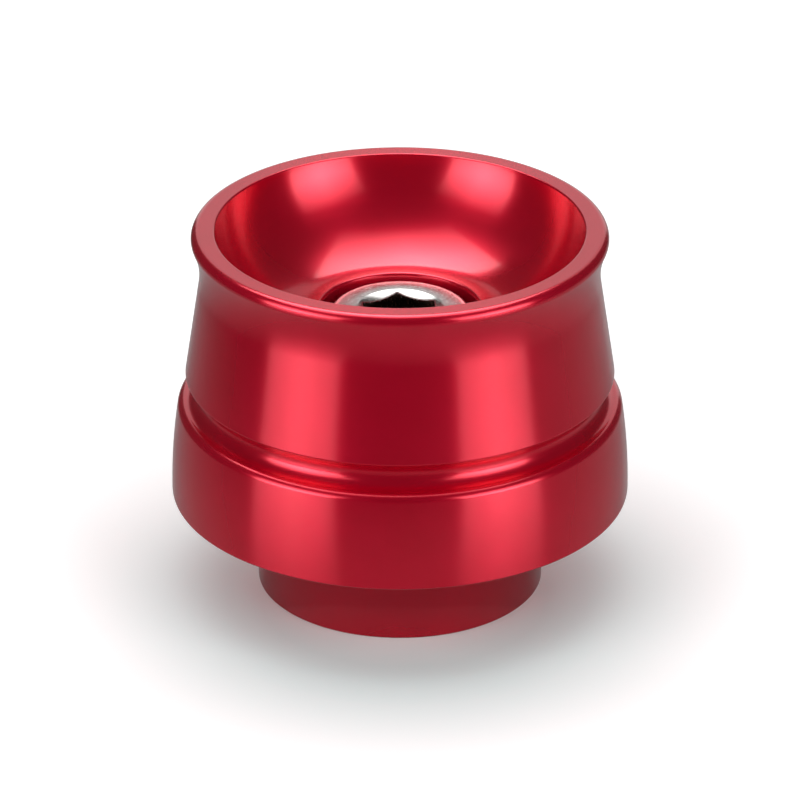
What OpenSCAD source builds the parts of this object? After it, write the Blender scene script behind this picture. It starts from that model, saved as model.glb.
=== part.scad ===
// Bar end weight: a turned weight and the cap screw that clamps it into the end of a handlebar.
// Millimetres. Z is the axis of the screw, and z = 0 is the shoulder that meets the end of the bar.

/* [Rim and cup] */
// How far the flared rim lies in from the collar's side
rim_step = 1.6; // [0.5:0.05:2.5]
// Rounding of the rim's outer edge
rim_edge_r = 0.55; // [0.3:0.05:1.3]
// Width of the rim, from its outermost edge in to the cup's mouth
rim_w = 1.65; // [1:0.05:3]
// Rounding of the rim's inner edge
cup_edge_r = 0.15; // [0.1:0.05:0.3]
// Depth of the cup, from the rim down to its flat floor
cup_depth = 5.95; // [5:0.05:8]
// Radius of the dished wall of the cup, seen in section
dish_r = 8.5; // [7:0.5:40]
// Diameter of the cup's flat floor, where the dished wall starts
floor_d = 14.8; // [12.6:0.1:16]
// Rounding of the lip between the cup's floor and the counterbore
lip_r = 0.25; // [0.1:0.05:0.5]

/* [Flank] */
// Height of the rim above the shoulder
weight_h = 19.65; // [18:0.05:26]
// How far the foot of the flank, just above the groove, lies in from the collar's side
flank_step = 1.05; // [0.5:0.05:1.5]
// Slope of the flank towards the axis, in degrees
flank_angle = 8.7; // [6:0.1:10]
// Radius of the cove under the rim, seen in section
cove_r = 6; // [2:0.5:10]

/* [Collar and groove] */
// Diameter of the collar where it meets the bar
collar_d = 32; // [31:0.1:36]
// Radius of the collar's crowned side, seen in section
crown_r = 41; // [30:1:80]
// Rounding of the collar's bottom edge
shoulder_edge_r = 0.15; // [0.05:0.05:0.5]
// Rounding of the collar's top edge, where it turns into the groove
collar_edge_r = 0.6; // [0.3:0.05:0.8]
// Height of the middle of the groove above the shoulder
groove_h = 7.85; // [5:0.05:9]
// Radius of the round-bottomed groove
groove_r = 1; // [0.7:0.05:1.3]
// Depth of the groove, measured from the foot of the flank
groove_depth = 0.9; // [0.5:0.05:1]
// Rounding of the flank's foot, where the groove begins
foot_edge_r = 0.15; // [0.05:0.05:0.3]

/* [Spigot] */
// Diameter of the spigot that enters the bar
spigot_d = 20; // [16:0.5:22]
// Length of the spigot
spigot_l = 7; // [4:0.5:12]
// Small chamfer at the end of the spigot
spigot_chamfer = 0.1; // [0.1:0.1:1]

/* [Cap screw] */
// Diameter over the thread
thread_d = 6; // [5:0.5:6]
// Length of the screw under its head
screw_l = 25; // [20:1:50]
// Chamfer at the end of the thread
tip_chamfer = 0.6; // [0.3:0.1:1]
// Diameter of the head
head_d = 10; // [9:0.1:10.4]
// Height of the head
head_h = 6; // [5:0.1:6.4]
// Rounding of the head's top edge
head_edge_r = 0.75; // [0.3:0.05:1]
// Fillet between the head and the shank
neck_fillet_r = 0.2; // [0.1:0.05:0.25]
// Width of the hexagon socket, across its flats
socket_af = 5; // [4:0.5:5]
// Depth of the socket's flats
socket_depth = 3; // [2.5:0.1:3.5]
// Diameter of the socket's countersunk mouth
socket_mouth_d = 6.2; // [6:0.1:6.6]
// Turn of the socket about the axis, in degrees
socket_turn = 30; // [0:1:59]

/* [Fits] */
// Gap all round the screw's shank in its hole
shank_clearance = 0.3; // [0.3:0.05:0.5]
// Gap all round the screw's head in the counterbore
head_clearance = 0.5; // [0.2:0.05:0.6]
// Depth of the counterbore, from the cup's floor down to the seat of the head
counterbore_depth = 6.1; // [5:0.1:7]

/* [Hidden] */
$fn = 96;
// Largest turn between two points of an arc, in degrees
ARC_STEP = 5;
// Slopes of the socket's mouth and of its drilled floor, in degrees from the screw's axis
MOUTH_SLOPE = 60;
FLOOR_SLOPE = 60;
// How far a cut runs past the face that it opens
OVERCUT = 0.5;

shank_hole_r = thread_d / 2 + shank_clearance;
counterbore_r = head_d / 2 + head_clearance;
floor_z = weight_h - cup_depth;
seat_z = floor_z - counterbore_depth;

// Direction of a vector, in degrees
function heading(v) = atan2(v.y, v.x);

// A point at a distance and a heading from another
function polar(centre, r, angle) = centre + r * [cos(angle), sin(angle)];

// Points along an arc, from one heading to another
function arc(centre, r, from, to) =
    let (steps = max(3, ceil(abs(to - from) / ARC_STEP)))
    [for (i = [0:steps]) polar(centre, r, from + (to - from) * i / steps)];

// The point that lies r_a from a and r_b from b, to the left of the way from a to b
function meet(a, r_a, b, r_b) =
    let (span = norm(b - a))
    let (turn = acos((r_a ^ 2 + span ^ 2 - r_b ^ 2) / (2 * r_a * span)))
    polar(a, r_a, heading(b - a) + turn);

// The point on a line that lies r from a target, before it (side -1) or past it (side 1)
function beside(start, way, target, r, side) =
    let (half = (target - start) * way)
    start + (half + side * sqrt(half ^ 2 + r ^ 2 - norm(target - start) ^ 2)) * way;

// Radii that follow the collar's: the flank at its foot, the rim and the cup's mouth
flank_foot_r = collar_d / 2 - flank_step;
rim_r = collar_d / 2 - rim_step;
mouth_r = rim_r - rim_w;

// The flank is a straight line up from its foot, at the top edge of the groove
groove_inset = groove_r - groove_depth;
groove_centre = [flank_foot_r + groove_inset, groove_h];
flank_foot = [flank_foot_r, groove_h + sqrt(groove_r ^ 2 - groove_inset ^ 2)];
flank_way = [-sin(flank_angle), cos(flank_angle)];
flank_out = [cos(flank_angle), sin(flank_angle)];
foot_edge_centre = beside(flank_foot - foot_edge_r * flank_out, flank_way,
                          groove_centre, groove_r + foot_edge_r, 1);

// The cove touches the flank and the rounding of the rim
rim_centre = [rim_r - rim_edge_r, weight_h - rim_edge_r];
cove_centre = beside(flank_foot + cove_r * flank_out, flank_way, rim_centre, cove_r + rim_edge_r, -1);

// The dish touches the rounding of the cup's mouth and ends in a corner at the cup's flat floor
mouth_centre = [mouth_r + cup_edge_r, weight_h - cup_edge_r];
floor_edge = [floor_d / 2, floor_z];
dish_centre = meet(floor_edge, dish_r, mouth_centre, dish_r + cup_edge_r);
lip_centre = [counterbore_r + lip_r, floor_z - lip_r];

// The collar's crowned side ends in a rounded edge that touches the groove
shoulder_centre = [collar_d / 2 - shoulder_edge_r, shoulder_edge_r];
crown_centre = [collar_d / 2 - crown_r, shoulder_edge_r];
collar_edge_centre = meet(groove_centre, groove_r + collar_edge_r, crown_centre, crown_r - collar_edge_r);

spigot_outline = [
    [shank_hole_r, -spigot_l],
    [spigot_d / 2 - spigot_chamfer, -spigot_l],
    [spigot_d / 2, spigot_chamfer - spigot_l],
    [spigot_d / 2, 0]
];

collar_outline = concat(
    arc(shoulder_centre, shoulder_edge_r, -90, 0),
    arc(crown_centre, crown_r, 0, heading(collar_edge_centre - crown_centre)),
    arc(collar_edge_centre, collar_edge_r, heading(collar_edge_centre - crown_centre),
        heading(groove_centre - collar_edge_centre))
);

groove_outline = arc(groove_centre, groove_r, heading(collar_edge_centre - groove_centre),
                     heading(foot_edge_centre - groove_centre) - 360);

flank_outline = concat(
    arc(foot_edge_centre, foot_edge_r, heading(groove_centre - foot_edge_centre), flank_angle),
    arc(cove_centre, cove_r, flank_angle + 180, heading(rim_centre - cove_centre)),
    arc(rim_centre, rim_edge_r, heading(cove_centre - rim_centre), 90)
);

cup_outline = concat(
    arc(mouth_centre, cup_edge_r, 90, heading(dish_centre - mouth_centre)),
    arc(dish_centre, dish_r, heading(mouth_centre - dish_centre), heading(floor_edge - dish_centre)),
    arc(lip_centre, lip_r, 90, 180)
);

seat_outline = [
    [counterbore_r, seat_z],
    [shank_hole_r, seat_z]
];

// Outline of the screw, from its own seat: the shank runs down and the head stands up
shank_r = thread_d / 2;
screw_outline = concat(
    [[0, -screw_l], [shank_r - tip_chamfer, -screw_l], [shank_r, tip_chamfer - screw_l]],
    arc([shank_r + neck_fillet_r, -neck_fillet_r], neck_fillet_r, 180, 90),
    [[head_d / 2, 0]],
    arc([head_d / 2 - head_edge_r, head_h - head_edge_r], head_edge_r, 0, 90),
    [[0, head_h]]
);

// The turned weight: flared rim, dished cup, tapered flank, groove, collar and spigot
module weight_body() {
    color([0.70, 0.02, 0.10])
        rotate_extrude()
            polygon(concat(spigot_outline, collar_outline, groove_outline, flank_outline,
                           cup_outline, seat_outline));
}

// Hexagon socket with a countersunk mouth and a drilled floor, cut down from the head's top
module hexagon_socket() {
    flat_r = socket_af / 2;
    mouth_h = (socket_mouth_d / 2 - flat_r) / tan(MOUTH_SLOPE);
    floor_h = flat_r / tan(FLOOR_SLOPE);

    rotate([0, 0, socket_turn])
        translate([0, 0, head_h - socket_depth])
            cylinder(r = flat_r / cos(30), h = socket_depth + OVERCUT, $fn = 6);
    translate([0, 0, head_h - mouth_h])
        cylinder(r1 = flat_r, r2 = socket_mouth_d / 2 + OVERCUT * tan(MOUTH_SLOPE),
                 h = mouth_h + OVERCUT);
    translate([0, 0, head_h - socket_depth - floor_h])
        cylinder(r1 = 0, r2 = flat_r, h = floor_h);
}

// The hexagon socket head cap screw, seated in the counterbore
module cap_screw() {
    color([0.72, 0.71, 0.69])
        translate([0, 0, seat_z])
            difference() {
                rotate_extrude()
                    polygon(screw_outline);
                hexagon_socket();
            }
}

weight_body();
cap_screw();
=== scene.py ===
"""A bar end weight of red anodised aluminium, turned in one piece, with its hexagon socket cap screw."""
import math

import bmesh
import bpy
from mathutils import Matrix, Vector


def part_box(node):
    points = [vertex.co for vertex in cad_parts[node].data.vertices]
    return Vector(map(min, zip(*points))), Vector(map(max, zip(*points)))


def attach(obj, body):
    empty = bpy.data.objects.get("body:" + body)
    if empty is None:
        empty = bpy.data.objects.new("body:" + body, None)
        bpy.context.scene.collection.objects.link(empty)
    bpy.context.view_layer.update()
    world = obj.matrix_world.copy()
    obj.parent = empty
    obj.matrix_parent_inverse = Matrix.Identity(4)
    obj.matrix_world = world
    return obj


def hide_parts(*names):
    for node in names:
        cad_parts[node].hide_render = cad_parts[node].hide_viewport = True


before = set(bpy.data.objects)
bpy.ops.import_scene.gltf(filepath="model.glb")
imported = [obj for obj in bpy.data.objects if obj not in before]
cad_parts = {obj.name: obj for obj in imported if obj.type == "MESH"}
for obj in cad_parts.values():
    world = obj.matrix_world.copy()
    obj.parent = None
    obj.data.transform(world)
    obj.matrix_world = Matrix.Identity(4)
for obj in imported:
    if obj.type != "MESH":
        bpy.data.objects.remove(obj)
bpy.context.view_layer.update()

# Sizes are in millimetres, in the frame of the part, and meshes are made in metres
MM = 0.001

# Outer sizes, from the frame
body_low, body_high = (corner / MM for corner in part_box("weight_body"))
screw_low, screw_high = (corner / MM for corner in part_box("cap_screw"))
WEIGHT_H = body_high.z
COLLAR_R = body_high.x
SPIGOT_L = -body_low.z
SCREW_TOP = screw_high.z
SCREW_TIP = screw_low.z
HEAD_R = screw_high.x

# Rim, cup and flank. The rim and the flank's foot lie in from the collar by a step
RIM_R = COLLAR_R - 1.6
RIM_EDGE_R = 0.55
CUP_R = RIM_R - 1.65
CUP_EDGE_R = 0.15
CUP_DEPTH = 5.95
DISH_R = 8.5
CUP_FLOOR_R = 7.4
LIP_R = 0.25
FLANK_R = COLLAR_R - 1.05
FLANK_ANGLE = 8.7
COVE_R = 6
FOOT_EDGE_R = 0.15

# Groove and collar
GROOVE_H = 7.85
GROOVE_R = 1
GROOVE_DEPTH = 0.9
CROWN_R = 41
COLLAR_EDGE_R = 0.6
SHOULDER_EDGE_R = 0.15

# Spigot and the holes for the screw
SPIGOT_R = 10
SPIGOT_CHAMFER = 0.1
SHANK_HOLE_R = 3.3
COUNTERBORE_R = 5.5
COUNTERBORE_DEPTH = 6.1

# Cap screw. Crest and flank end at a share of the pitch from the crest's middle, and the
# phases are the rows of one turn of the thread, as such shares
HEAD_H = 6
HEAD_EDGE_R = 0.75
THREAD_R = 3
THREAD_ROOT_R = 2.387
THREAD_ROOT_ROUND = 0.072
THREAD_PITCH = 1
THREAD_CREST = 1 / 16
THREAD_FLANK = 3 / 8
THREAD_SPARE_TURNS = 2
THREAD_PHASES = (-1 / 16, 1 / 16, 7 / 32, 3 / 8, 1 / 2, 5 / 8, 25 / 32)
THREAD_RUNOUT = 1
TIP_R = 2.35
NECK_R = 0.2
SOCKET_FLAT_R = 2.5
SOCKET_CORNER_R = 0.12
SOCKET_DEPTH = 3
SOCKET_MOUTH_R = 3.1
SOCKET_EDGE = 0.06
CONE_SLOPE = math.radians(30)

# Fineness of the meshes
AROUND_BODY = 256
AROUND_SCREW = 192
AROUND_FLOOR = 96
SAGITTA = 0.002
MERGE_DISTANCE = 1e-7
SHARP = math.radians(30)

# Materials. A noise mostly lies between its low and its high. The Principled shader
# draws highlights out along the tangent, so a quarter turn draws them along the section
NOISE_LOW = 0.3
NOISE_HIGH = 0.7
QUARTER_TURN = 0.25
RED_DARK = (0.62, 0.0, 0.022)
RED_LIGHT = (0.66, 0.0, 0.026)
STEEL_DARK = (0.52, 0.51, 0.495)
STEEL_LIGHT = (0.62, 0.61, 0.595)
# Painted shade inside the screw's socket: its colours, and the depth below the top over which it deepens
SOCKET_SHADE_DARK = (0.09, 0.065, 0.05)
SOCKET_SHADE_LIGHT = (0.17, 0.135, 0.11)
SOCKET_SHADE_DEPTH = 0.3

# Studio, in millimetres and degrees: azimuth 0 is at the camera and grows to the right
CAMERA_PLACE = (-25.2, -342.9, 175.7)
CAMERA_TARGET = (0, 0, 6.5)
CAMERA_LENS = 247
CAMERA_CLIP = (0.02, 10)
ROOM_R = 1500
ROOM_STEP = 5
BACKDROP_LEFT_END = -165
BACKDROP_RIGHT_END = 150
BACKDROP_TOP = 40
PANEL_DISTANCE = 700
PANEL_SIDE_SHARE = 0.5
PANEL_FADE_START = -0.3
WORLD_LIGHT = 0.2

# Floor. Reflections show it with a painted pool of light round one spot. The camera sees a painted glow on
# it that fades out round another, which leaves painted shade on top of the real shadow, where a painted
# tint of its colour also makes up for the red light that the part throws on it
FLOOR_R = 3000
FLOOR_HOLE_R = 4.5
FLOOR_GAP = 0.01
FLOOR_H = -SPIGOT_L - FLOOR_GAP
FLOOR_ROUGHNESS = 0.15
PAINTED_POOL_SPOT = (50, 20)
PAINTED_POOL_R = 70
PAINTED_POOL_TONE = 0.4
PAINTED_POOL_END_R = 150
PAINTED_DARK_TONE = 0.04
PAINTED_SHADE_SPOT = (0, -4)
PAINTED_SHADE_R = 10
PAINTED_GLOW_FULL_R = 28
PAINTED_TINT_R = 22
PAPER = (0.95, 0.95, 0.95)
PAPER_PAINTED_AGAINST_RED_LIGHT = (0.78, 0.95, 0.94)
PAINTED_FLOOR_GLOW = 0.45


def polar(centre, radius, degrees):
    """The point at a distance and a heading from another."""
    angle = math.radians(degrees)
    return centre + radius * Vector((math.cos(angle), math.sin(angle)))


def heading(way):
    """Direction of a vector in the outline's plane, in degrees."""
    return math.degrees(math.atan2(way.y, way.x))


def arc(centre, radius, start, end):
    """Points of an arc, each with the direction that faces out of the metal."""
    largest_turn = math.degrees(2 * math.acos(1 - SAGITTA / radius))
    steps = max(3, math.ceil(abs(end - start) / largest_turn))
    side = math.copysign(1, end - start)
    angles = [start + (end - start) * i / steps for i in range(steps + 1)]
    return [(polar(centre, radius, a), polar(Vector((0, 0)), side, a)) for a in angles]


def corner(radius, height):
    """A sharp corner of an outline."""
    return [(Vector((radius, height)), Vector((0, 0)))]


def meet(a, r_a, b, r_b):
    """The point r_a from a and r_b from b, to the left of the way from a to b."""
    span = (b - a).length
    turn = math.acos((r_a ** 2 + span ** 2 - r_b ** 2) / (2 * r_a * span))
    return polar(a, r_a, heading(b - a) + math.degrees(turn))


def beside(start, way, target, radius, side):
    """The point of a line that lies a radius from a target, before it (side -1) or past it (side 1)."""
    half = (target - start).dot(way)
    reach = math.sqrt(half ** 2 + radius ** 2 - (target - start).length_squared)
    return start + (half + side * reach) * way


def body_outline():
    """Outline of the weight, once round its section, with the metal on the left."""
    groove_inset = GROOVE_R - GROOVE_DEPTH
    groove = Vector((FLANK_R + groove_inset, GROOVE_H))
    foot = Vector((FLANK_R, GROOVE_H + math.sqrt(GROOVE_R ** 2 - groove_inset ** 2)))
    way = polar(Vector((0, 0)), 1, FLANK_ANGLE + 90)
    out = polar(Vector((0, 0)), 1, FLANK_ANGLE)
    foot_edge = beside(foot - FOOT_EDGE_R * out, way, groove, GROOVE_R + FOOT_EDGE_R, 1)
    rim = Vector((RIM_R - RIM_EDGE_R, WEIGHT_H - RIM_EDGE_R))
    cove = beside(foot + COVE_R * out, way, rim, COVE_R + RIM_EDGE_R, -1)

    floor_h = WEIGHT_H - CUP_DEPTH
    seat_h = floor_h - COUNTERBORE_DEPTH
    mouth = Vector((CUP_R + CUP_EDGE_R, WEIGHT_H - CUP_EDGE_R))
    floor_edge = Vector((CUP_FLOOR_R, floor_h))
    dish = meet(floor_edge, DISH_R, mouth, DISH_R + CUP_EDGE_R)
    lip = Vector((COUNTERBORE_R + LIP_R, floor_h - LIP_R))

    shoulder = Vector((COLLAR_R - SHOULDER_EDGE_R, SHOULDER_EDGE_R))
    crown = Vector((COLLAR_R - CROWN_R, SHOULDER_EDGE_R))
    edge = meet(groove, GROOVE_R + COLLAR_EDGE_R, crown, CROWN_R - COLLAR_EDGE_R)

    return (
        corner(SHANK_HOLE_R, -SPIGOT_L)
        + corner(SPIGOT_R - SPIGOT_CHAMFER, -SPIGOT_L)
        + corner(SPIGOT_R, SPIGOT_CHAMFER - SPIGOT_L)
        + corner(SPIGOT_R, 0)
        + arc(shoulder, SHOULDER_EDGE_R, -90, 0)
        + arc(crown, CROWN_R, 0, heading(edge - crown))
        + arc(edge, COLLAR_EDGE_R, heading(edge - crown), heading(groove - edge))
        + arc(groove, GROOVE_R, heading(edge - groove), heading(foot_edge - groove) - 360)
        + arc(foot_edge, FOOT_EDGE_R, heading(groove - foot_edge), FLANK_ANGLE)
        + arc(cove, COVE_R, FLANK_ANGLE + 180, heading(rim - cove))
        + arc(rim, RIM_EDGE_R, heading(cove - rim), 90)
        + arc(mouth, CUP_EDGE_R, 90, heading(dish - mouth))
        + arc(dish, DISH_R, heading(mouth - dish), heading(floor_edge - dish))
        + arc(lip, LIP_R, 90, 180)
        + corner(COUNTERBORE_R, seat_h)
        + corner(SHANK_HOLE_R, seat_h)
    )


def without_repeats(outline):
    """The outline without the points where one arc ends and the next begins."""
    kept = []
    for point, facing in outline:
        if not kept or (point - kept[-1][0]).length > SAGITTA / 10:
            kept.append((point, facing))
    return kept


def turned(point, angle):
    """A point or direction of the outline's plane, turned about the axis."""
    return Vector((point[0] * math.cos(angle), point[0] * math.sin(angle), point[1]))


def add_object(name, mesh, material):
    """An object of the scene, with one material."""
    piece = bpy.data.objects.new(name, mesh)
    bpy.context.scene.collection.objects.link(piece)
    mesh.materials.append(material)
    return piece


def make_weight(material):
    """The turned weight, with normals that follow the true arcs."""
    outline = without_repeats(body_outline())
    rows = len(outline)
    angles = [2 * math.pi * i / AROUND_BODY for i in range(AROUND_BODY)]
    points = [turned(p, a) * MM for a in angles for p, _ in outline]
    facings = [turned(f, a) for a in angles for _, f in outline]
    faces = []
    for i in range(AROUND_BODY):
        here, there = i * rows, (i + 1) % AROUND_BODY * rows
        for j in range(rows):
            up = (j + 1) % rows
            faces.append((here + j, there + j, there + up, here + up))
    mesh = bpy.data.meshes.new("turned_weight")
    mesh.from_pydata(points, [], faces)
    mesh.polygons.foreach_set("use_smooth", [True] * len(faces))
    mesh.set_sharp_from_angle(angle=SHARP)
    mesh.normals_split_custom_set_from_vertices(facings)
    return add_object("turned_weight", mesh, material)


def add_grid(bm, columns, shift=0):
    """Adds the faces between neighbouring columns. The last meets the first, shifted up by some rows."""
    grid = [[bm.verts.new(point * MM) for point in column] for column in columns]
    for i, here in enumerate(grid):
        there = grid[i + 1] if i + 1 < len(grid) else grid[0][shift:]
        for j in range(min(len(here), len(there)) - 1):
            bm.faces.new((here[j], there[j], there[j + 1], here[j + 1]))


def thread_radius(phase):
    """Radius of the thread at a share of its pitch from the middle of the crest."""
    across = abs((phase + 0.5) % 1 - 0.5)
    if across > THREAD_FLANK:
        return THREAD_ROOT_R + (0.5 - across) / (0.5 - THREAD_FLANK) * THREAD_ROOT_ROUND
    share = max(0, across - THREAD_CREST) / (THREAD_FLANK - THREAD_CREST)
    return THREAD_R - share * (THREAD_R - THREAD_ROOT_R - THREAD_ROOT_ROUND)


def thread_column(angle, top):
    """Points up the thread at one angle, from the tip to the end of the run-out."""
    turns = math.ceil((top - SCREW_TIP) / THREAD_PITCH) + 1
    column = []
    for turn in range(-THREAD_SPARE_TURNS, turns + THREAD_SPARE_TURNS):
        for phase in THREAD_PHASES:
            rise = (turn + phase + angle / (2 * math.pi)) * THREAD_PITCH
            height = min(max(SCREW_TIP + rise, SCREW_TIP), top)
            chamfer = TIP_R + height - SCREW_TIP
            runout = THREAD_R - (top - height) / THREAD_RUNOUT * (THREAD_R - THREAD_ROOT_R)
            radius = max(min(thread_radius(phase), chamfer), runout)
            column.append(turned((radius, height), angle))
    return column


def hexagon_radius(angle):
    """Distance from the axis to the wall of the socket, whose corners are slightly round."""
    sixth = math.pi / 3
    from_corner = abs((angle - math.pi / 2 + sixth / 2) % sixth - sixth / 2)
    flat = SOCKET_FLAT_R / math.cos(sixth / 2 - from_corner)
    centre = (SOCKET_FLAT_R - SOCKET_CORNER_R) / math.cos(sixth / 2)
    side = centre * math.sin(from_corner)
    if side > SOCKET_CORNER_R / 2:
        return flat
    return centre * math.cos(from_corner) + math.sqrt(SOCKET_CORNER_R ** 2 - side ** 2)


def head_column(angle, thread_top):
    """Points from the end of the thread up round the head, in at its top and down into the socket."""
    seat = SCREW_TOP - HEAD_H
    wall = hexagon_radius(angle)
    cone_end = SCREW_TOP - (SOCKET_MOUTH_R - wall) * math.tan(CONE_SLOPE)
    floor = SCREW_TOP - SOCKET_DEPTH
    rim = Vector((HEAD_R - HEAD_EDGE_R, SCREW_TOP - HEAD_EDGE_R))
    cone_foot = Vector((wall, cone_end))
    edge_start = cone_foot + SOCKET_EDGE * Vector((math.cos(CONE_SLOPE), math.sin(CONE_SLOPE)))
    edge_end = Vector((wall, cone_end - SOCKET_EDGE))
    rows = [(THREAD_R, thread_top)]
    rows += [p for p, _ in arc(Vector((THREAD_R + NECK_R, seat - NECK_R)), NECK_R, 180, 90)]
    rows += [(HEAD_R - SOCKET_EDGE, seat), (HEAD_R, seat + SOCKET_EDGE)]
    rows += [p for p, _ in arc(rim, HEAD_EDGE_R, 0, 90)]
    rows += [(SOCKET_MOUTH_R + SOCKET_EDGE, SCREW_TOP)]
    rows += [(SOCKET_MOUTH_R - SOCKET_EDGE, SCREW_TOP - SOCKET_EDGE * math.tan(CONE_SLOPE))]
    for share in (0, 0.25, 0.5, 0.75, 1):
        near, middle, far = (1 - share) ** 2, 2 * share * (1 - share), share ** 2
        rows.append(near * edge_start + middle * cone_foot + far * edge_end)
    rows += [(wall, floor), (SOCKET_FLAT_R - SOCKET_EDGE, floor)]
    rows += [(0, floor - SOCKET_FLAT_R * math.tan(CONE_SLOPE))]
    return [turned(row, angle) for row in rows]


def make_screw(material):
    """The cap screw, with a true thread and socket, as one closed mesh."""
    thread_top = SCREW_TOP - HEAD_H - 2 * NECK_R
    angles = [2 * math.pi * i / AROUND_SCREW for i in range(AROUND_SCREW)]
    bm = bmesh.new()
    add_grid(bm, [thread_column(a, thread_top) for a in angles], shift=len(THREAD_PHASES))
    add_grid(bm, [head_column(a, thread_top) for a in angles])
    add_grid(bm, [[turned((0, SCREW_TIP), a), turned((TIP_R, SCREW_TIP), a)] for a in angles])
    bmesh.ops.remove_doubles(bm, verts=bm.verts, dist=MERGE_DISTANCE)
    mesh = bpy.data.meshes.new("socket_screw")
    bm.to_mesh(mesh)
    bm.free()
    mesh.polygons.foreach_set("use_smooth", [True] * len(mesh.polygons))
    mesh.set_sharp_from_angle(angle=SHARP)
    piece = add_object("socket_screw", mesh, material)
    weighted = piece.modifiers.new("even_normals", "WEIGHTED_NORMAL")
    weighted.keep_sharp = True
    return piece


def new_material(name):
    """A node material, with its nodes, its links and its main shader."""
    material = bpy.data.materials.new(name)
    material.use_nodes = True
    nodes = material.node_tree.nodes
    return material, nodes, material.node_tree.links, nodes["Principled BSDF"]


def feed(links, socket, value):
    """Links an output to a socket, or writes a plain value on it."""
    if isinstance(value, bpy.types.NodeSocket):
        links.new(value, socket)
    else:
        socket.default_value = value


def calculate(nodes, links, operation, *values):
    """The result of a Math node on one or two values, each an output or a number."""
    node = nodes.new("ShaderNodeMath")
    node.operation = operation
    for socket, value in zip(node.inputs, values):
        feed(links, socket, value)
    return node.outputs[0]


def map_range(nodes, links, value, start, end, low, high):
    """The value mapped from one range to another, and held at its ends."""
    node = nodes.new("ShaderNodeMapRange")
    node.inputs["From Min"].default_value = start
    node.inputs["From Max"].default_value = end
    node.inputs["To Min"].default_value = low
    node.inputs["To Max"].default_value = high
    links.new(value, node.inputs["Value"])
    return node.outputs["Result"]


def object_place(nodes):
    """The place of a point on its own piece, in metres."""
    return nodes.new("ShaderNodeTexCoord").outputs["Object"]


def from_axis(nodes, links, place):
    """The distance of a place from the axis, and its height."""
    split = nodes.new("ShaderNodeSeparateXYZ")
    flat = nodes.new("ShaderNodeVectorMath")
    flat.operation = "MULTIPLY"
    flat.inputs[1].default_value = (1, 1, 0)
    radius = nodes.new("ShaderNodeVectorMath")
    radius.operation = "LENGTH"
    links.new(place, split.inputs[0])
    links.new(place, flat.inputs[0])
    links.new(flat.outputs[0], radius.inputs[0])
    return radius.outputs["Value"], split.outputs["Z"]


def along_rings(nodes, links, place, drift):
    """A vector that hardly changes round the axis, for the marks that a lathe leaves."""
    radius, height = from_axis(nodes, links, place)
    ring = nodes.new("ShaderNodeCombineXYZ")
    turn = nodes.new("ShaderNodeVectorMath")
    turn.operation = "MULTIPLY_ADD"
    turn.inputs[1].default_value = (drift, drift, drift)
    links.new(radius, ring.inputs["X"])
    links.new(height, ring.inputs["Z"])
    links.new(place, turn.inputs[0])
    links.new(ring.outputs[0], turn.inputs[2])
    return turn.outputs[0]


def noise(nodes, links, vector, size, detail):
    """Noise whose grains are about a size across, in millimetres."""
    texture = nodes.new("ShaderNodeTexNoise")
    texture.inputs["Scale"].default_value = 1 / (size * MM)
    texture.inputs["Detail"].default_value = detail
    links.new(vector, texture.inputs["Vector"])
    return texture.outputs["Fac"]


def spread(nodes, links, value, low, high):
    """The middle of a noise, mapped to a range."""
    return map_range(nodes, links, value, NOISE_LOW, NOISE_HIGH, low, high)


def bump(nodes, links, height, depth, under=None):
    """A bump of a real depth, in millimetres, over another bump."""
    node = nodes.new("ShaderNodeBump")
    node.inputs["Strength"].default_value = 1
    node.inputs["Distance"].default_value = depth * MM
    links.new(height, node.inputs["Height"])
    if under:
        links.new(under, node.inputs["Normal"])
    return node.outputs["Normal"]


def mix_colour(nodes, links, factor, first, second):
    """A mix of two colours, each an output or three numbers."""
    node = nodes.new("ShaderNodeMix")
    node.data_type = "RGBA"
    links.new(factor, node.inputs["Factor"])
    for socket, colour in ((node.inputs[6], first), (node.inputs[7], second)):
        feed(links, socket, (*colour, 1) if isinstance(colour, tuple) else colour)
    return node.outputs[2]


def red_anodised():
    """Turned aluminium under a clear red anodic film, its sheen drawn out along the section."""
    material, nodes, links, shader = new_material("red_anodised")
    place = object_place(nodes)
    rings = along_rings(nodes, links, place, drift=0.01)
    fine = noise(nodes, links, rings, size=0.15, detail=2)
    coarse = noise(nodes, links, rings, size=0.6, detail=3)
    grain = noise(nodes, links, place, size=0.09, detail=3)
    tone = noise(nodes, links, place, size=3, detail=2)
    shade = spread(nodes, links, tone, 0, 1)
    links.new(mix_colour(nodes, links, shade, RED_DARK, RED_LIGHT), shader.inputs["Base Color"])
    links.new(spread(nodes, links, coarse, 0.24, 0.268), shader.inputs["Roughness"])
    marks = bump(nodes, links, fine, depth=0.0001)
    links.new(bump(nodes, links, grain, depth=0.0003, under=marks), shader.inputs["Normal"])
    tangent = nodes.new("ShaderNodeTangent")
    tangent.direction_type = "RADIAL"
    tangent.axis = "Z"
    links.new(tangent.outputs[0], shader.inputs["Tangent"])
    shader.inputs["Anisotropic"].default_value = 0.7
    shader.inputs["Anisotropic Rotation"].default_value = QUARTER_TURN
    shader.inputs["Metallic"].default_value = 0.65
    shader.inputs["Coat Weight"].default_value = 1
    shader.inputs["Coat Roughness"].default_value = 0.12
    shader.inputs["Coat IOR"].default_value = 1.35
    return material


def painted_socket_shade(nodes, links, place):
    """Where shade is painted: one deep in the hexagon socket of the screw, and zero on its other faces."""
    radius, height = from_axis(nodes, links, place)
    near = calculate(nodes, links, "LESS_THAN", radius, (SOCKET_MOUTH_R - SOCKET_EDGE) * MM)
    head = calculate(nodes, links, "GREATER_THAN", height, (SCREW_TOP - HEAD_H) * MM)
    start = (SCREW_TOP - SOCKET_SHADE_DEPTH) * MM
    end = (SCREW_TOP - 2 * SOCKET_SHADE_DEPTH) * MM
    depth = map_range(nodes, links, height, start, end, 0, 1)
    return calculate(nodes, links, "MULTIPLY", calculate(nodes, links, "MULTIPLY", near, head), depth)


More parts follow.
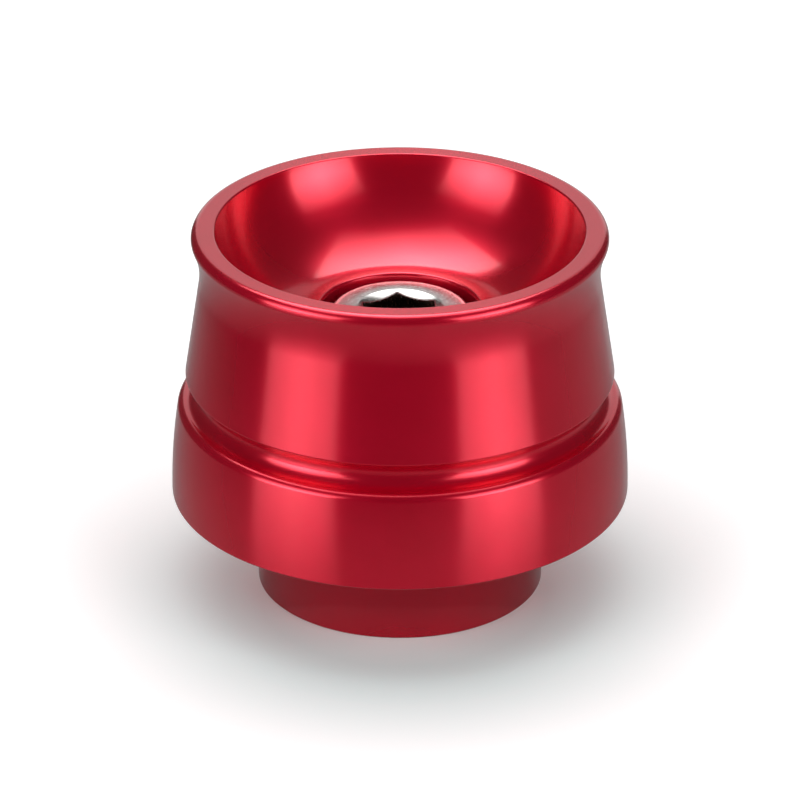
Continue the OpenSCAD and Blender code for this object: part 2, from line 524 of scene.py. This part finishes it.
def stainless():
    """Bare stainless steel of the screw, with painted shade inside its socket that darkens with depth."""
    material, nodes, links, shader = new_material("stainless")
    place = object_place(nodes)
    rings = along_rings(nodes, links, place, drift=0.02)
    fine = noise(nodes, links, rings, size=0.1, detail=2)
    grain = noise(nodes, links, place, size=0.12, detail=3)
    tone = noise(nodes, links, place, size=0.8, detail=3)
    shade = spread(nodes, links, tone, 0, 1)
    steel = mix_colour(nodes, links, shade, STEEL_DARK, STEEL_LIGHT)
    socket_shade = mix_colour(nodes, links, shade, SOCKET_SHADE_DARK, SOCKET_SHADE_LIGHT)
    # Painted shade over the steel, deep in the socket
    colour = mix_colour(nodes, links, painted_socket_shade(nodes, links, place), steel, socket_shade)
    links.new(colour, shader.inputs["Base Color"])
    links.new(spread(nodes, links, grain, 0.2, 0.28), shader.inputs["Roughness"])
    marks = bump(nodes, links, fine, depth=0.0003)
    links.new(bump(nodes, links, grain, depth=0.0006, under=marks), shader.inputs["Normal"])
    shader.inputs["Metallic"].default_value = 1
    return material


def bearing(azimuth, elevation, distance):
    """The place at a distance from the part, in metres."""
    across = polar(Vector((0, 0)), distance * MM * math.cos(math.radians(elevation)), azimuth - 90)
    return Vector((*across, distance * MM * math.sin(math.radians(elevation))))


def by_distance(nodes, links, centre, near, far, start, end):
    """A value that goes from start to end between two distances from a spot on the floor."""
    away = nodes.new("ShaderNodeVectorMath")
    away.operation = "DISTANCE"
    away.inputs[1].default_value = (centre[0] * MM, centre[1] * MM, FLOOR_H * MM)
    links.new(object_place(nodes), away.inputs[0])
    return map_range(nodes, links, away.outputs["Value"], near * MM, far * MM, start, end)


def floor_material():
    """Pale paper. Reflections show it glossy, with a painted pool of light near the part. The camera sees
    it glow, a painted light that fades out round the part into painted shade, with a painted tint there
    against the part's red light.
    """
    material, nodes, links, shader = new_material("floor")
    shader.inputs["Roughness"].default_value = FLOOR_ROUGHNESS
    # Painted pool of light that only reflections show: pale round a spot, dark further out
    tone = by_distance(nodes, links, PAINTED_POOL_SPOT, PAINTED_POOL_R, PAINTED_POOL_END_R, PAINTED_POOL_TONE, PAINTED_DARK_TONE)
    links.new(tone, shader.inputs["Base Color"])

    paper = nodes.new("ShaderNodeBsdfDiffuse")
    # Painted tint, full round the part and gone further out, that makes up for the red light the part
    # throws on the floor
    out_of_painted_tint = by_distance(nodes, links, PAINTED_SHADE_SPOT, PAINTED_SHADE_R, PAINTED_TINT_R, 0, 1)
    colour = mix_colour(nodes, links, out_of_painted_tint, PAPER_PAINTED_AGAINST_RED_LIGHT, PAPER)
    links.new(colour, paper.inputs["Color"])

    rays = nodes.new("ShaderNodeLightPath")
    glow = nodes.new("ShaderNodeEmission")
    # Painted glow that the camera alone sees: none round the part and full further out, so it leaves
    # painted shade round the part on top of its real shadow
    strength = by_distance(nodes, links, PAINTED_SHADE_SPOT, PAINTED_SHADE_R, PAINTED_GLOW_FULL_R, 0, PAINTED_FLOOR_GLOW)
    painted_glow_for_camera = calculate(nodes, links, "MULTIPLY", rays.outputs["Is Camera Ray"], strength)
    links.new(painted_glow_for_camera, glow.inputs["Strength"])

    paper_with_painted_glow = nodes.new("ShaderNodeAddShader")
    links.new(paper.outputs[0], paper_with_painted_glow.inputs[0])
    links.new(glow.outputs[0], paper_with_painted_glow.inputs[1])
    surface = nodes.new("ShaderNodeMixShader")
    links.new(rays.outputs["Is Glossy Ray"], surface.inputs["Fac"])
    links.new(paper_with_painted_glow.outputs[0], surface.inputs[1])
    links.new(shader.outputs[0], surface.inputs[2])
    links.new(surface.outputs[0], nodes["Material Output"].inputs["Surface"])
    return material


def make_floor():
    """A pale floor, with a small hole under the spigot for the end of the screw."""
    points, faces = [], []
    for i in range(AROUND_FLOOR):
        way = polar(Vector((0, 0)), 1, 360 * i / AROUND_FLOOR)
        points.append((*(way * FLOOR_HOLE_R * MM), FLOOR_H * MM))
        points.append((*(way * FLOOR_R * MM), FLOOR_H * MM))
        following = (i + 1) % AROUND_FLOOR
        faces.append((2 * i, 2 * i + 1, 2 * following + 1, 2 * following))
    mesh = bpy.data.meshes.new("floor")
    mesh.from_pydata(points, [], faces)
    add_object("floor", mesh, floor_material())


def show_in_reflections(piece):
    """Hides a piece of the stage from all but reflections."""
    piece.visible_camera = False
    piece.visible_diffuse = False
    piece.visible_shadow = False


def make_glow(nodes, links, strength):
    """Makes a surface shine. The strength is an output or a number."""
    glow = nodes.new("ShaderNodeEmission")
    feed(links, glow.inputs["Strength"], strength)
    links.new(glow.outputs[0], nodes["Material Output"].inputs["Surface"])


def on_backdrop(azimuth, elevation):
    """Whether a direction meets the low white backdrop behind the part."""
    behind = azimuth < BACKDROP_LEFT_END or azimuth > BACKDROP_RIGHT_END
    return behind and elevation < BACKDROP_TOP


def make_room(name, brightness, holds):
    """The part of the room that only reflections show: the squares of a dome that a test holds."""
    material, nodes, links, _ = new_material(name)
    make_glow(nodes, links, brightness)
    points, faces = [], []
    for azimuth in range(-180, 180, ROOM_STEP):
        for elevation in range(0, 90, ROOM_STEP):
            if holds(azimuth + ROOM_STEP / 2, elevation + ROOM_STEP / 2):
                faces.append(tuple(range(len(points), len(points) + 4)))
                for right, up in ((0, 0), (1, 0), (1, 1), (0, 1)):
                    points.append(bearing(azimuth + right * ROOM_STEP, elevation + up * ROOM_STEP, ROOM_R))
    mesh = bpy.data.meshes.new(name)
    mesh.from_pydata(points, [], faces)
    show_in_reflections(add_object(name, mesh, material))


def panel_material(name, width, height, radiance):
    """Light that fades towards the sides of a panel, and to nothing at its top."""
    material, nodes, links, _ = new_material(name)
    split = nodes.new("ShaderNodeSeparateXYZ")
    links.new(object_place(nodes), split.inputs[0])
    aside = calculate(nodes, links, "ABSOLUTE", split.outputs["X"])
    half_width, half_height = width * MM / 2, height * MM / 2
    sides = map_range(nodes, links, aside, 0, half_width, radiance, radiance * PANEL_SIDE_SHARE)
    fade_start = PANEL_FADE_START * half_height
    top = map_range(nodes, links, split.outputs["Y"], fade_start, half_height, 1, 0)
    make_glow(nodes, links, calculate(nodes, links, "MULTIPLY", sides, top))
    return material


def make_panel(name, azimuth, elevation, width, height, radiance, lamp_radiance):
    """A soft panel that faces the part. Only reflections show it, and a lamp in its place gives light."""
    place = bearing(azimuth, elevation, PANEL_DISTANCE)
    turn = place.to_track_quat("Z", "Y").to_euler()
    across, up = width * MM / 2, height * MM / 2
    corners = [(-across, -up, 0), (across, -up, 0), (across, up, 0), (-across, up, 0)]
    mesh = bpy.data.meshes.new(name)
    mesh.from_pydata(corners, [], [(0, 1, 2, 3)])
    panel = add_object(name, mesh, panel_material(name, width, height, radiance))
    panel.location = place
    panel.rotation_euler = turn
    show_in_reflections(panel)

    light = bpy.data.lights.new(name, "AREA")
    light.shape = "ELLIPSE"
    light.size = width * MM
    light.size_y = height * MM
    light.energy = lamp_radiance * math.pi * light.size * light.size_y
    lamp = bpy.data.objects.new(name + "_lamp", light)
    lamp.location = place
    lamp.rotation_euler = turn
    lamp.visible_camera = False
    lamp.visible_glossy = False
    bpy.context.scene.collection.objects.link(lamp)


def make_world():
    """White where the camera sees it, and a weak even light on the part."""
    world = bpy.data.worlds.new("studio")
    world.use_nodes = True
    bpy.context.scene.world = world
    nodes, links = world.node_tree.nodes, world.node_tree.links
    rays = nodes.new("ShaderNodeLightPath")
    strength = map_range(nodes, links, rays.outputs["Is Camera Ray"], 0, 1, WORLD_LIGHT, 1)
    background = nodes["Background"]
    background.inputs["Color"].default_value = (1, 1, 1, 1)
    links.new(strength, background.inputs["Strength"])


def make_camera():
    """The photograph's viewpoint, turned to the part, with a longer lens."""
    place = Vector(CAMERA_PLACE) * MM
    target = Vector(CAMERA_TARGET) * MM
    data = bpy.data.cameras.new("camera")
    data.lens = CAMERA_LENS
    data.clip_start, data.clip_end = CAMERA_CLIP
    camera = bpy.data.objects.new("camera", data)
    camera.location = place
    camera.rotation_euler = (target - place).to_track_quat("-Z", "Y").to_euler()
    bpy.context.scene.collection.objects.link(camera)
    bpy.context.scene.camera = camera


make_camera()
make_floor()
make_room("dark_room", 0.05, lambda azimuth, elevation: not on_backdrop(azimuth, elevation))
make_room("backdrop", 0.7, on_backdrop)
make_panel("panel_left", -58, 23.5, width=560, height=520, radiance=6.5, lamp_radiance=2.8)
make_panel("panel_right", 47, 23.5, width=540, height=520, radiance=6.5, lamp_radiance=2.8)
make_panel("panel_above", 185, 76, width=700, height=670, radiance=7, lamp_radiance=1.0)
make_world()

weight = make_weight(red_anodised())
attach(weight, "root")
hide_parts("weight_body")

screw = make_screw(stainless())
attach(screw, "root")
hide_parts("cap_screw")

bpy.context.scene.view_settings.view_transform = "Standard"
